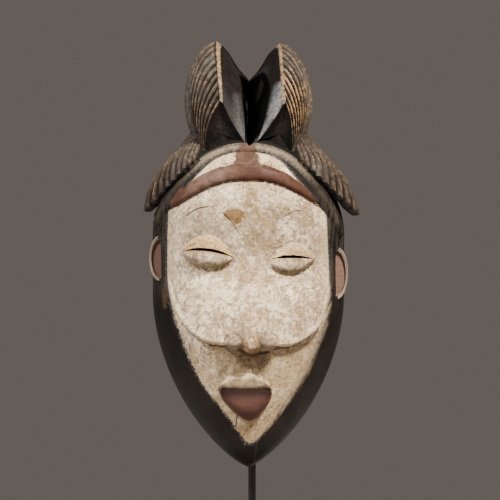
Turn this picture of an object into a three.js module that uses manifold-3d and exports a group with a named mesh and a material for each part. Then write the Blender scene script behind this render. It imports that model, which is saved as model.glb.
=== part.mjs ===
// A carved white-faced mask with two shell-shaped crest lobes, flaring side tresses and a hollow
// back, held on a blackened steel rod with a square foot. Millimetres, +Z up, the face looks
// towards -Y. The origin is the middle of the foot's underside.
import * as THREE from 'three';
import { mergeVertices } from 'three/addons/utils/BufferGeometryUtils.js';
import Module from 'manifold-3d';

const wasm = await Module();
wasm.setup();

// Driving dimensions of the stand
const PLATE_SIZE = 140;
const PLATE_THICK = 10;
const PLATE_BEVEL = 1.5;
const ROD_RADIUS = 3;
const ROD_Y = 6;
const FIT_GAP = 0.3;

// Driving dimensions of the mask: x from its middle line, z from just below the tip of the chin
const MASK_X = -2.8;
const CHIN_Z = 75;
const CHIN_LOW = 3;
const HEAD_TALL = 272;
const HALF_WIDTH = 76.3;
const JAW_TOP = 140;
const TEMPLE_TOP = 185;
const RIM_Y = 55;
const CHIN_RIM_Y = -20;
const JAW_RIM_TALL = 100;
const RIM_STRAIGHT = 0.24;
const SECTION_POWER = 2.6;
const OUTLINE_POWER = 0.8;
const WALL = 12;
const FACE_X = 2;
const LEAN = 0.07;

const clamp = (value, low = 0, high = 1) => Math.min(Math.max(value, low), high);
const mix = (a, b, share) => a + (b - a) * share;
const ease = (value) => clamp(value) ** 2 * (3 - 2 * clamp(value));
const steps = (count) => Array.from({ length: count + 1 }, (_, i) => i / count);
const signedSteps = (count) => steps(count).map((share) => 2 * share - 1);

// A smooth curve through a few points, read by a share from 0 to 1
const through = (points) => {
  const stations = points.map((p) => new THREE.Vector3(...p));
  const curve = new THREE.CatmullRomCurve3(stations, false, 'catmullrom', 0.5);
  return (share) => curve.getPoint(clamp(share)).toArray();
};

// A value that runs smoothly through [position, value] stations
const profile = (stations) => (at) => {
  const next = stations.findIndex(([place]) => place >= at);
  if (next === 0) return stations[0][1];
  if (next < 0) return stations.at(-1)[1];
  const slope = (i) => {
    const [before, after] = [stations[Math.max(i - 1, 0)], stations[Math.min(i + 1, stations.length - 1)]];
    return (after[1] - before[1]) / (after[0] - before[0]);
  };
  const [[x0, y0], [x1, y1]] = [stations[next - 1], stations[next]];
  const run = x1 - x0;
  const t = (at - x0) / run;
  return (1 + 2 * t) * (1 - t) ** 2 * y0 + t * (1 - t) ** 2 * run * slope(next - 1)
    + t * t * (3 - 2 * t) * y1 + t * t * (t - 1) * run * slope(next);
};

// Closed solids from rings of points, each ring a closed polygon with the same count
const solidFromTriangles = (points, triangles) => {
  const geometry = new THREE.BufferGeometry();
  geometry.setAttribute('position', new THREE.Float32BufferAttribute(points.flat(), 3));
  geometry.setIndex(triangles.flat());
  const merged = mergeVertices(geometry, 1e-3);
  const index = merged.index.array;
  const kept = [];
  for (let i = 0; i < index.length; i += 3) {
    const [a, b, c] = [index[i], index[i + 1], index[i + 2]];
    if (a !== b && b !== c && c !== a) kept.push(a, b, c);
  }
  return new wasm.Manifold(new wasm.Mesh({
    numProp: 3,
    vertProperties: new Float32Array(merged.attributes.position.array),
    triVerts: new Uint32Array(kept),
  }));
};

const centreOf = (ring) => [0, 1, 2].map((axis) => ring.reduce((sum, p) => sum + p[axis], 0) / ring.length);

const loft = (rings, startCentre = centreOf(rings[0]), endCentre = centreOf(rings.at(-1))) => {
  const count = rings[0].length;
  const points = [...rings.flat(), startCentre, endCentre];
  const startIndex = points.length - 2;
  const endIndex = points.length - 1;
  const triangles = [];
  for (let j = 0; j < count; j += 1) {
    const k = (j + 1) % count;
    for (let i = 0; i + 1 < rings.length; i += 1) {
      const [a, b, c, d] = [i * count + j, i * count + k, (i + 1) * count + k, (i + 1) * count + j];
      triangles.push([a, b, c], [a, c, d]);
    }
    const last = (rings.length - 1) * count;
    triangles.push([startIndex, k, j], [endIndex, last + j, last + k]);
  }
  const solid = solidFromTriangles(points, triangles);
  if (solid.volume() > 0) return solid;
  return solidFromTriangles(points, triangles.map(([a, b, c]) => [a, c, b]));
};

const fromGeometry = (geometry, x = 0, y = 0, z = 0) => {
  const moved = geometry.clone().translate(x, y, z);
  moved.deleteAttribute('normal');
  moved.deleteAttribute('uv');
  const merged = mergeVertices(moved, 1e-3);
  return new wasm.Manifold(new wasm.Mesh({
    numProp: 3,
    vertProperties: new Float32Array(merged.attributes.position.array),
    triVerts: new Uint32Array(merged.index.array),
  }));
};

// The head: a rounded wedge outline, a side profile and a D-shaped section at each height
const headHalfWidth = (z, inset = 0) => {
  const below = clamp((JAW_TOP - z) / (JAW_TOP - CHIN_LOW - inset));
  const above = clamp((z - TEMPLE_TOP) / (HEAD_TALL - TEMPLE_TOP - inset * 2.6));
  const share = Math.max(below, above);
  return (HALF_WIDTH - inset) * (1 - share * share) ** OUTLINE_POWER;
};

const headFront = profile([
  [CHIN_LOW, -30], [7, -43], [13, -51.5], [23, -57.5], [45, -63], [68, -66], [97, -70],
  [130, -72], [165, -71], [190, -76], [215, -79], [235, -74], [252, -60], [263, -40], [272, -15],
]);

const rimY = (z) => mix(CHIN_RIM_Y, RIM_Y, ease(z / JAW_RIM_TALL));
const widestY = (z) => rimY(z) - RIM_STRAIGHT * (rimY(z) - headFront(z));

const headSurfaceY = (x, z) => {
  const share = clamp(Math.abs(x) / headHalfWidth(z), 0, 0.999);
  return widestY(z) - (widestY(z) - headFront(z)) * (1 - share ** SECTION_POWER) ** (1 / SECTION_POWER);
};

// The point of the head at x, z, raised outwards from the wood by a height
const NORMAL_STEP = 0.5;
const onHead = (x, z, height) => {
  const slopeX = (headSurfaceY(x + NORMAL_STEP, z) - headSurfaceY(x - NORMAL_STEP, z)) / (2 * NORMAL_STEP);
  const slopeZ = (headSurfaceY(x, z + NORMAL_STEP) - headSurfaceY(x, z - NORMAL_STEP)) / (2 * NORMAL_STEP);
  const length = Math.hypot(slopeX, 1, slopeZ);
  return [x + slopeX / length * height, headSurfaceY(x, z) - height / length, z + slopeZ / length * height];
};

// The carver's level falls to the right by LEAN over the brow and eyes, and is true at the mouth
const leanAt = (z) => LEAN * ease((z - 75) / 45) * (1 - 0.55 * ease((z - 205) / 45));
const level = (x, z) => z - leanAt(z) * x;

const HEAD_ROWS = [CHIN_LOW, 4.2, 6.5, 10, 15, 21.5, 29, 38, 48, 58, 68, 79, 90, 101, 112, 124, 137,
  150, 163, 176, 189, 202, 214, 226, 238, 249, 259, 267, 272];
const HEAD_COLUMNS = 20;
const RIM_DRAFT = 2.5;
const headRing = (z) => {
  const half = headHalfWidth(z);
  const arc = signedSteps(HEAD_COLUMNS).map((share) => {
    const across = Math.sin(share * Math.PI / 2);
    const x = half * across;
    const depth = (1 - Math.abs(across) ** SECTION_POWER) ** (1 / SECTION_POWER);
    return [x, widestY(z) - (widestY(z) - headFront(z)) * depth, z];
  });
  const rimHalf = Math.max(half - RIM_DRAFT, 0) * (half > RIM_DRAFT ? 1 : 0);
  return [...arc, [rimHalf, rimY(z), z], [-rimHalf, rimY(z), z]];
};
const head = () => loft(HEAD_ROWS.map(headRing), [0, -25, CHIN_LOW], [0, 20, HEAD_TALL]);

// The hollow behind the face follows the head at the wall's thickness and runs out of the back
const HOLLOW_BOTTOM = 13;
const HOLLOW_TOP = HEAD_TALL - WALL * 2.6;
const HOLLOW_COLUMNS = 12;
const HOLLOW_ROWS = 12;
const hollow = () => loft(steps(HOLLOW_ROWS).map((share) => {
  const z = mix(HOLLOW_BOTTOM, HOLLOW_TOP, (1 - Math.cos(share * Math.PI)) / 2);
  const half = Math.max(headHalfWidth(z, WALL), 0.6);
  const front = headFront(z) + WALL + 1;
  const back = Math.max(widestY(z), front + 4);
  const arc = signedSteps(HOLLOW_COLUMNS).map((along) => {
    const across = Math.sin(along * Math.PI / 2);
    return [half * across, back - (back - front) * (1 - Math.abs(across) ** 2.4) ** (1 / 2.4), z];
  });
  return [...arc, [half, RIM_Y + 8, z], [-half, RIM_Y + 8, z]];
}));

// A raised form on the face: place(u, v) gives x, z and height for u and v from -1 to 1
const ROOT_DEPTH = 4;
const raised = (columns, rows, place) => {
  const rings = signedSteps(columns).map((u) => {
    const line = signedSteps(rows).map((v) => place(u, v));
    const front = line.map(([x, z, height]) => onHead(x, z, height));
    const back = line.map(([x, z]) => onHead(x, z, -ROOT_DEPTH)).reverse();
    return [...front, ...back];
  });
  return loft(rings);
};

// A raised band of half-width wide(u) and height tall(v) along a centre line z = line(x)
const BAND_EDGE = -0.6;
const band = (x0, x1, line, wide, tall, columns, rows) => raised(columns, rows, (u, v) => {
  const x = mix(x0, x1, (u + 1) / 2);
  const slope = (line(x + 0.5) - line(x - 0.5));
  const length = Math.hypot(1, slope);
  const reach = wide(u) * v;
  return [x - slope / length * reach, line(x) + reach / length, tall(u, v)];
});
const rounded = (height) => (u, v) => mix(BAND_EDGE, height, (1 - v * v) ** 0.5);

// Hairline band, diadem across the forehead and the rolls under the cheeks
const hairline = () => band(
  -70.5, 72.5,
  (x) => level(x, 252 - 0.00208 * Math.abs(x - 1) ** 2.4),
  () => 3.4, rounded(3.2), 18, 4,
);
const diadem = () => band(
  -60.5, 54,
  (x) => level(x, 232.7 - 0.00366 * Math.abs(x) ** 2.2) + 0.03 * x,
  (u) => mix(6.9, 6.1, ease(Math.abs(u) / 0.5)) * Math.max(1 - Math.abs(u) ** (u < 0 ? 5 : 3), 0.02) ** 0.8,
  (u, v) => mix(BAND_EDGE, 3.4, (1 - v ** 4) ** 0.5), 14, 4,
);

// The cheeks and the middle of the face swell out above a fold that runs from ear to ear
const CHEEK_SWELL = 5.5;
const CHEEK_TOP = 162;
const CHEEK_HALF = 63;
const cheekLine = (x) => {
  const reach = Math.abs(x - FACE_X);
  return 97.5 + 0.00095 * Math.max(reach - 16, 0) ** 2.75 + (x < 0 ? 1.5 : 0);
};
const swellAt = (x, z) => CHEEK_SWELL * ease((z - cheekLine(x) + 0.5) / 3.5)
  * (1 - ease((z - 118) / 42)) * ease((CHEEK_HALF - Math.abs(x)) / 13);
const midface = () => raised(14, 7, (u, v) => {
  const x = u * CHEEK_HALF;
  const z = mix(cheekLine(x) - 0.4, CHEEK_TOP, ((v + 1) / 2) ** 1.6);
  const border = Math.abs(u) === 1 || Math.abs(v) === 1;
  return [x, z, border ? BAND_EDGE : swellAt(x, z)];
});

// Almond eyelids, each with its own size, and the slit that pierces it and falls towards the back
const EYES = [
  {
    x: -31.1, z: 169.2, half: 21, up: 15.3, down: 11.6, rise: 7.5, tilt: -0.105,
    slit: { x: -31.1, z: 169.4, half: 20.6, tall: 2.9, arch: 3.4, tilt: -0.1 },
  },
  {
    x: 33.5, z: 164.8, half: 18.4, up: 13.8, down: 10.8, rise: 7, tilt: 0.108,
    slit: { x: 33.5, z: 166.2, half: 15.7, tall: 2.3, arch: 1, tilt: -0.02 },
  },
];
const eyeLid = ({ x, z, half, up, down, rise, tilt }) => raised(10, 6, (u, v) => {
  const across = Math.sin(u * Math.PI / 2);
  const span = Math.max(1 - Math.abs(across) ** 2.2, 0.001);
  const height = mix(BAND_EDGE, rise, Math.sqrt(span * (1 - v * v)));
  return [x + across * half, z + tilt * across * half + v * (v < 0 ? down : up) * span, height];
});
const SLIT_FALL = 0.25;
const SLIT_RISE = 4;
const slitCut = ({ slit: { x, z, half, tall, arch, tilt } }) => loft([-110, -30].map((y) => {
  const edge = (u, way) => {
    const fall = SLIT_FALL * (y - headSurfaceY(x + u * half, z) + SLIT_RISE);
    return [x + u * half, y, z - fall + tilt * u * half + (arch + way * tall / 2) * (1 - u * u)];
  };
  const across = signedSteps(10);
  return [...across.map((u) => edge(u, 1)), ...across.slice(1, -1).reverse().map((u) => edge(u, -1))];
}));

// Nose: a low bridge that runs down to a small tip between two round wings
const NOSE_HALF = 20;
const WINGS = [{ x: -10.8, z: 101.5, radius: 6.6 }, { x: 14.4, z: 102.5, radius: 6.8 }];
const WING_RISE = 7.5;
const tipRise = profile([
  [91.5, 0], [93.5, 9], [96.5, 13.5], [102, 12.6], [109, 8.2], [120, 4.4], [135, 3], [152, 2], [172, 0],
]);
const noseRise = (x, z) => {
  const wide = 6.4 + Math.max(z - 104, 0) * 0.15;
  const tip = tipRise(z) * Math.exp(-(((x - FACE_X) / wide) ** 2));
  const wings = WINGS.map((wing) => WING_RISE * (1 - 0.4 * ease((z - wing.z) / wing.radius))
    * Math.sqrt(clamp(1 - (Math.hypot(x - wing.x, z - wing.z) / wing.radius) ** 2)));
  return Math.max(tip, ...wings);
};
const NOSE_ROWS = [91.5, 93.5, 95.5, 98, 101, 104, 107, 111, 118, 130, 150, 172];
const nose = () => loft(NOSE_ROWS.map((z, row) => {
  const line = signedSteps(12).map((u) => {
    const x = FACE_X + u * NOSE_HALF;
    const border = Math.abs(u) === 1 || row === 0 || row === NOSE_ROWS.length - 1;
    return [x, z, swellAt(x, z) + (border ? BAND_EDGE : noseRise(x, z))];
  });
  return [...line.map((spot) => onHead(...spot)), ...line.map(([x]) => onHead(x, z, -ROOT_DEPTH)).reverse()];
}));

// Mouth: an arched upper lip over a pointed, heart-shaped lower lip
const MOUTH_X = -2.6;
const MOUTH_HALF = 20.8;
const LIP_RISE = 9;
const upperLip = () => raised(10, 4, (u, v) => {
  const low = 65 + 3.2 * Math.sqrt(1 - u * u);
  const high = 65.3 + 11.9 * (1 - u * u) ** 0.62;
  const share = (v + 1) / 2;
  const border = Math.abs(v) === 1 || Math.abs(u) === 1;
  const height = border ? BAND_EDGE : LIP_RISE * (0.74 + 0.22 * share) * (1 - u * u) ** 0.35;
  return [MOUTH_X + u * MOUTH_HALF, mix(low, high, share), height];
});
const LIP_ROWS = [41, 42.5, 45, 48.5, 52, 56, 60, 64, 68.4];
const lipHalf = profile([
  [41, 0.6], [42.5, 4], [45, 7.4], [48.5, 10.8], [52, 14], [56, 17.3], [60, 19.4], [64, 20.2], [68.4, 19],
]);
const lipRise = profile([
  [41, 0.5], [43, 3.2], [46, 6.6], [50, 9], [54, 9.2], [58, 8.4], [62, 7.4], [65, 6.9], [68.4, 6.5],
]);
const lipMiddle = (z) => mix(0.4, MOUTH_X, clamp((z - 41) / 27));
const lowerLip = () => loft(LIP_ROWS.map((z) => {
  const line = signedSteps(10).map((u) => {
    const round = Math.max(1 - Math.abs(u) ** 2.6, 0) ** 0.6;
    return [lipMiddle(z) + u * lipHalf(z), z, mix(BAND_EDGE, lipRise(z), round)];
  });
  return [...line.map((spot) => onHead(...spot)), ...line.map(([x]) => onHead(x, z, -ROOT_DEPTH)).reverse()];
}));

// A crest lobe is a shell: ribs fan from its low outer pole to its edge, which climbs the front
// ridge, rounds the top, dips to the notch between the lobes and runs down the back. A flat strip
// follows the ridge. The inner face runs from it to a lip and drops into the valley between the
// lobes. x is outwards here.
const LOBE_RIBS = 26;
const LOBE_POINTS = 5;
const GROOVE_DEEP = 2;
const STRIP_OUTER = 0.045;
const STRIP_INNER = 0.1;
const LOBE_TOP = [[22.6, -4, 337.4], [16.5, 11, 331], [8, 22, 318], [-1.5, 31, 306], [-1.5, 43, 288],
  [-1.5, 50, 268], [-1.5, 52, 246]];
const lobeEdges = {
  left: through([[21.5, -47, 290], [22.6, -38, 311], [23.4, -24, 328], ...LOBE_TOP]),
  right: through([[28.6, -47, 290], [26.4, -38, 311], [24.6, -24, 328], ...LOBE_TOP]),
};
const lobeLips = {
  left: through([
    [2.6, -54, 256], [3, -46, 272], [4.4, -32, 288], [5.5, -12, 303], [7.5, 6, 312], [5, 22, 312],
    [-1.5, 29.5, 305], [-1.5, 40, 287], [-1.5, 47, 267], [-1.5, 49, 245],
  ]),
  right: through([
    [6.5, -54, 258], [11.5, -46, 271], [15.5, -34, 288], [17, -16, 303], [13, 4, 315], [7, 19, 314],
    [-1.5, 29.5, 305], [-1.5, 40, 287], [-1.5, 47, 267], [-1.5, 49, 245],
  ]),
};
const lobeValley = through([
  [1, -50, 254], [-1.5, -25, 253], [-1.5, -5, 256], [-1.5, 10, 265], [-1.5, 19, 282], [-1.5, 25, 300],
  [-1.5, 28, 304], [-1.5, 38, 286], [-1.5, 45, 266], [-1.5, 46, 244],
]);
const RIGHT_DROP = 1.5;
const lobePole = [34, -42, 247];
const SHOULDER_TOP = [[42, -12, 340], [46, 8, 336], [46, 22, 326], [42, 34, 314], [38, 46, 296],
  [34, 52, 276], [30, 52, 258]];
const ribShoulders = {
  left: through([[27, -49, 281], [33, -48, 300], [38.5, -38, 321], ...SHOULDER_TOP]),
  right: through([[33, -49, 281], [36, -48, 300], [39.5, -38, 321], ...SHOULDER_TOP]),
};
const RIB_BELLY = through([
  [35, -50, 270], [45, -49, 278], [55, -40, 286], [62, -24, 292], [66, -6, 290],
  [66, 14, 284], [62, 32, 276], [56, 44, 266], [50, 50, 256], [44, 51, 246],
]);
const lobeFoot = (share) => [16, mix(-46, -20, ease(share / 0.12)), 237];
const lobeRib = (share, hand) => new THREE.CubicBezierCurve3(
  new THREE.Vector3(...lobeEdges[hand](share)), new THREE.Vector3(...ribShoulders[hand](share)),
  new THREE.Vector3(...RIB_BELLY(share)), new THREE.Vector3(...lobePole),
);
const lobeRing = (share, groove, hand) => {
  const rib = lobeRib(share, hand);
  const core = new THREE.Vector3(10, 0, 285);
  const strip = 1 - ease((share - 0.38) / 0.1);
  const outer = steps(LOBE_POINTS).map((along) => {
    const point = rib.getPoint(mix(STRIP_OUTER * strip, 1, along));
    const deep = groove * GROOVE_DEEP * Math.min(1, 6 * along) * ease((1 - along) * 3);
    return point.add(core.clone().sub(point).normalize().multiplyScalar(deep)).toArray();
  });
  const [edge, turn] = [lobeEdges[hand](share), lobeLips[hand](share)];
  const inner = edge.map((value, axis) => mix(value, turn[axis], STRIP_INNER * strip));
  return [...outer, lobeFoot(share), lobeValley(share), turn, inner];
};
const lobe = (side) => {
  const hand = side < 0 ? 'left' : 'right';
  const rings = steps(LOBE_RIBS * 2).map((share, i) => lobeRing(share, i % 2, hand));
  const drop = side > 0 ? RIGHT_DROP : 0;
  const mirrored = rings.map((ring) => ring.map(([x, y, z]) => [x * side, y, z - drop]));
  const recess = side < 0 ? -21 : 24;
  return loft(mirrored, [recess, -43, 263], [20 * side, 48, 246]);
};

// The web of wood between the lobes, below their valley
const WEB_HALF = 5;
const web = () => {
  const outline = [[-50, 238], [-50, 254], [-25, 254], [-5, 257], [10, 266], [19, 283], [25, 301],
    [30, 304], [40, 286], [46, 266], [48, 238]];
  const side = new THREE.Shape(outline.map(([y, z]) => new THREE.Vector2(y, z)));
  const geometry = new THREE.ExtrudeGeometry(side, { depth: 2 * WEB_HALF, bevelEnabled: false });
  geometry.applyMatrix4(new THREE.Matrix4().makeBasis(
    new THREE.Vector3(0, 1, 0), new THREE.Vector3(0, 0, 1), new THREE.Vector3(1, 0, 0)));
  return fromGeometry(geometry, -WEB_HALF, 0, 0);
};

// The cleft follows the valley and the lips, opens upwards and runs out over the forehead
const CLEFT_HALF = 0.4;
const CLEFT_CLEAR = 0.4;
const CLEFT_FRONT = -26;
const cleft = () => {
  const ring = (share, forward = 0) => {
    const valley = lobeValley(share);
    const place = (side, [x, y, z], lift) => [
      side * Math.max(x - CLEFT_CLEAR, CLEFT_HALF), y + forward, z + lift - (side > 0 ? RIGHT_DROP : 0)];
    const half = (side, hand) => [place(side, [CLEFT_HALF, valley[1], valley[2]], 0.4),
      place(side, lobeLips[hand](share), 0.4), place(side, lobeEdges[hand](share), 3)];
    const [left, right] = [half(-1, 'left'), half(1, 'right')];
    return [...right, ...left.reverse()];
  };
  return loft([ring(0, CLEFT_FRONT), ...steps(12).map((share) => ring(share * 0.6))]);
};

// A side tress: grooved strands fall from under the lobe and flare out over the ear
const TRESS_RIBS = 15;
const tressRoot = through([
  [37, -38, 258], [41, -30, 264], [45, -12, 266], [46, 12, 266], [44, 34, 262], [40, 52, 256],
]);
const tressEdge = through([
  [41, -57, 245], [53, -54, 233.5], [66.5, -38, 219.5], [82.3, -9, 205], [81, 22, 207], [77, 52, 212],
]);
const TRESS_BULGE = 6.5;
const TRESS_THICK = 6.5;
const TRESS_GROOVE_DEEP = 2.4;
const tressRing = (share, groove, spread) => {
  const root = tressRoot(share);
  const edge = tressEdge(share);
  const reach = mix(1, spread, ease(share * 2));
  const lifted = (along, lift) => {
    const bulge = TRESS_BULGE * ease(share * 2.5) * Math.sin(Math.PI * along ** 1.5) + lift;
    return [mix(root[0], edge[0] * reach, along) + bulge * 0.8, mix(root[1], edge[1], along) - bulge * 0.15,
      mix(root[2], edge[2], along) + bulge * 0.55];
  };
  const deep = groove * TRESS_GROOVE_DEEP;
  const outer = steps(4).map((along) => lifted(along, -deep * Math.min(1, along * 3)));
  const inner = [0.94, 0.5, 0].map((along) => lifted(along, -TRESS_THICK - 5 * (1 - along)));
  return [...outer, ...inner];
};
const tress = (side, spread, drop) => {
  const rings = steps(TRESS_RIBS * 2).map((share, i) => tressRing(share, i % 2, spread));
  return loft(rings.map((ring) => ring.map(([x, y, z]) => [x * side, y, z - drop * ease((266 - z) / 60)])));
};

// An ear: a C-shaped rim round a sunk face, let into the side of the head
const earSolid = (side, x, z, half, tall) => {
  const arc = (scale, y) => steps(10).map((share) => {
    const turn = mix(-0.5, 0.5, share) * Math.PI;
    return [side * (x + Math.cos(turn) * half * scale), y, z + Math.sin(turn) * tall * scale];
  });
  const ring = (scale, y, inset) => [...arc(scale, y), [side * (x - inset), y, z + tall * 0.6],
    [side * (x - inset), y, z - tall * 0.6]];
  const body = loft([ring(0.86, -27, 8), ring(1, -23, 10), ring(0.92, -12, 10), ring(0.5, 0, 8)]);
  const sunk = loft([ring(0.8, -32, 1.5), ring(0.76, -25, 1.5)]);
  return body.subtract(sunk);
};

// Pockets that close up between two joined forms are solid wood
const withoutPockets = (solid) => solid.decompose().reduce((largest, body) => (
  body.volume() > largest.volume() ? body : largest));

const EARS = [[-1, 68.5, 166.2, 9.3, 18.6], [1, 68.4, 154.6, 9.6, 21.6]];

const PLANE_TRIM = 400;
const behindRim = () => fromGeometry(new THREE.BoxGeometry(PLANE_TRIM, 100, PLANE_TRIM), 0, RIM_Y + 50, 180);

const maskSolid = () => {
  let solid = head();
  const added = [
    hairline(), diadem(), midface(), ...EYES.map(eyeLid), nose(),
    upperLip(), lowerLip(), lobe(-1), lobe(1), web(), tress(-1, 1, 0), tress(1, 1.06, 3),
    ...EARS.map((ear) => earSolid(...ear)),
  ];
  added.forEach((piece) => { solid = solid.add(piece); });
  const removed = [hollow(), behindRim(), cleft(), ...EYES.map(slitCut)];
  removed.forEach((piece) => { solid = solid.subtract(piece); });
  return withoutPockets(solid);
};

// The stand, in the same frame as the whole part
const tube = (radius, from, to, sides = 12) => {
  const [start, end] = [new THREE.Vector3(...from), new THREE.Vector3(...to)];
  const length = start.distanceTo(end);
  const geometry = new THREE.CylinderGeometry(radius, radius, length, sides);
  const along = end.clone().sub(start).normalize();
  geometry.applyQuaternion(new THREE.Quaternion().setFromUnitVectors(new THREE.Vector3(0, 1, 0), along));
  const middle = start.add(end).multiplyScalar(0.5);
  return fromGeometry(geometry, middle.x, middle.y, middle.z);
};
const WIRE_SIDES = 8;
const bentWire = (radius, points, bends = 8) => {
  const round = new THREE.Shape(steps(WIRE_SIDES).slice(0, -1).map((share) => new THREE.Vector2(
    radius * Math.cos(share * 2 * Math.PI), radius * Math.sin(share * 2 * Math.PI))));
  const stations = points.map((p) => new THREE.Vector3(...p));
  const extrudePath = new THREE.CatmullRomCurve3(stations, false, 'catmullrom', 0.4);
  return fromGeometry(new THREE.ExtrudeGeometry(round, { extrudePath, steps: bends, bevelEnabled: false }));
};

const basePlate = () => {
  const flat = PLATE_SIZE / 2 - PLATE_BEVEL;
  const corners = [[-1, -1], [1, -1], [1, 1], [-1, 1]];
  const outline = new THREE.Shape(corners.map(([x, y]) => new THREE.Vector2(x * flat, y * flat)));
  const plate = new THREE.ExtrudeGeometry(outline, {
    depth: PLATE_THICK - 2 * PLATE_BEVEL, bevelEnabled: true, bevelSegments: 1,
    bevelThickness: PLATE_BEVEL, bevelSize: PLATE_BEVEL,
  });
  const socket = tube(ROD_RADIUS + FIT_GAP, [0, ROD_Y, 4], [0, ROD_Y, PLATE_THICK + 5]);
  return fromGeometry(plate, 0, 0, PLATE_BEVEL).subtract(socket);
};

const ROD_TOP = CHIN_Z + 190;
const JAW_ARM_Z = CHIN_Z + 70;
const BROW_ARM_Z = CHIN_Z + 190;
const ARM_RADIUS = 2.2;
const ARM_CLEAR = 2.5;
const HOOK_RADIUS = 2.2;
const standRod = () => {
  const upright = tube(ROD_RADIUS, [0, ROD_Y, 4 + FIT_GAP], [0, ROD_Y, ROD_TOP]);
  const jawInner = headHalfWidth(JAW_ARM_Z - CHIN_Z, WALL) - ARM_RADIUS - ARM_CLEAR;
  const browInner = headHalfWidth(BROW_ARM_Z - CHIN_Z, WALL) - ARM_RADIUS - ARM_CLEAR;
  const arm = (reach, z, y) => bentWire(ARM_RADIUS, [
    [MASK_X - reach, y, z], [MASK_X - reach * 0.9, ROD_Y, z],
    [MASK_X + reach * 0.9, ROD_Y, z], [MASK_X + reach, y, z],
  ]);
  const hook = bentWire(HOOK_RADIUS, [
    [0, ROD_Y, ROD_TOP], [0, -6, CHIN_Z + 222], [0, -30, CHIN_Z + 231], [0, -46, CHIN_Z + 224]]);
  const [jawArm, browArm] = [arm(jawInner, JAW_ARM_Z, ROD_Y + 8), arm(browInner, BROW_ARM_Z, ROD_Y + 8)];
  return upright.add(jawArm).add(browArm).add(hook);
};

// The finished pieces as named meshes
const meshOf = (name, solid, colour, roughness, metalness) => {
  const { vertProperties, triVerts } = solid.getMesh();
  const geometry = new THREE.BufferGeometry();
  geometry.setAttribute('position', new THREE.BufferAttribute(new Float32Array(vertProperties), 3));
  geometry.setIndex(new THREE.BufferAttribute(new Uint32Array(triVerts), 1));
  geometry.computeVertexNormals();
  const material = new THREE.MeshStandardMaterial({ color: colour, roughness, metalness });
  const mesh = new THREE.Mesh(geometry, material);
  mesh.name = name;
  return mesh;
};

const group = new THREE.Group();
const maskMesh = meshOf('mask', maskSolid(), 0xb9a98f, 0.75, 0);
maskMesh.position.set(MASK_X, 0, CHIN_Z);
group.add(maskMesh);

const stand = new THREE.Group();
stand.add(meshOf('base_plate', basePlate(), 0x242527, 0.5, 0.8));
stand.add(meshOf('stand_rod', standRod(), 0x2a2b2e, 0.45, 0.8));
group.add(stand);

export default group;
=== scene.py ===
# A carved white-faced mask with a two-lobed crest on a blackened steel rod and foot.
# Lengths are millimetres in the functions and turn into metres where a mesh is made.
import math
from functools import partialmethod, reduce
import bpy
import numpy as np
from mathutils.kdtree import KDTree
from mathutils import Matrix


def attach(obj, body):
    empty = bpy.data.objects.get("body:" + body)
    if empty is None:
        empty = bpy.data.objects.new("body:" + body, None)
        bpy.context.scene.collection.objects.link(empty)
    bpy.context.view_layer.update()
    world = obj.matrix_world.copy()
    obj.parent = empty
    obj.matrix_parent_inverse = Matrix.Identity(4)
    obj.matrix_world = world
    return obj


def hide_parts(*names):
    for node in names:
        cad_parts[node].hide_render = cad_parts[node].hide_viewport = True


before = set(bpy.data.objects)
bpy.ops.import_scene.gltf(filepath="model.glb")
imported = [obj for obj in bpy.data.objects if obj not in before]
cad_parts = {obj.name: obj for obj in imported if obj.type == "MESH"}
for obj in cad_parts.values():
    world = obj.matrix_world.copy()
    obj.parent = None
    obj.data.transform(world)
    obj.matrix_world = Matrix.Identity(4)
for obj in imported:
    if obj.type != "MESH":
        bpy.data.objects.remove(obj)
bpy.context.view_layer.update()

MM = 0.001

# Driving dimensions, the same as the solids': x from the mask's middle line, z from below its chin
MASK_X = -2.8
CHIN_Z = 75.0
MASK_PLACE = np.array([MASK_X, 0.0, CHIN_Z])
CHIN_LOW = 3.0
HEAD_TALL = 272.0
HALF_WIDTH = 76.3
JAW_TOP = 140.0
TEMPLE_TOP = 185.0
RIM_Y = 55.0
CHIN_RIM_Y = -20.0
JAW_RIM_TALL = 100.0
RIM_STRAIGHT = 0.24
SECTION_POWER = 2.6
OUTLINE_POWER = 0.8
WALL = 12.0
FACE_X = 2.0
LEAN = 0.07

# The photograph's view: its scale at the head's widest section, and the point it looks at
VIEW_DISTANCE = 2400.0
VIEW_WIDTH = 400.0
SENSOR_WIDTH = 36.0
VIEW_PLANE_Y = 25.0
VIEW_X = -1.6
VIEW_Z = 247.8


def mix(a, b, share):
    return a + (b - a) * share


def ease(value):
    value = np.clip(value, 0.0, 1.0)
    return value * value * (3 - 2 * value)


def bump(distance, radius):
    """A smooth hill of height 1, gone at about twice its radius."""
    return np.exp(-(distance / radius) ** 2)


def dome(across, power=2.0):
    """A rounded cross-section: 1 in the middle, 0 from across = 1 outwards."""
    return np.sqrt(np.clip(1 - np.abs(across) ** power, 0, 1))


def profile(stations):
    """A value that runs smoothly through (position, value) stations."""
    places, values = np.array(stations, dtype=float).T
    order = np.arange(len(places))
    before, after = np.maximum(order - 1, 0), np.minimum(order + 1, len(places) - 1)
    slopes = (values[after] - values[before]) / (places[after] - places[before])

    def at(position):
        position = np.clip(position, places[0], places[-1])
        i = np.clip(np.searchsorted(places, position) - 1, 0, len(places) - 2)
        run = places[i + 1] - places[i]
        t = (position - places[i]) / run
        start = (1 + 2 * t) * (1 - t) ** 2 * values[i] + t * (1 - t) ** 2 * run * slopes[i]
        return start + t * t * (3 - 2 * t) * values[i + 1] + t * t * (t - 1) * run * slopes[i + 1]
    return at


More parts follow.
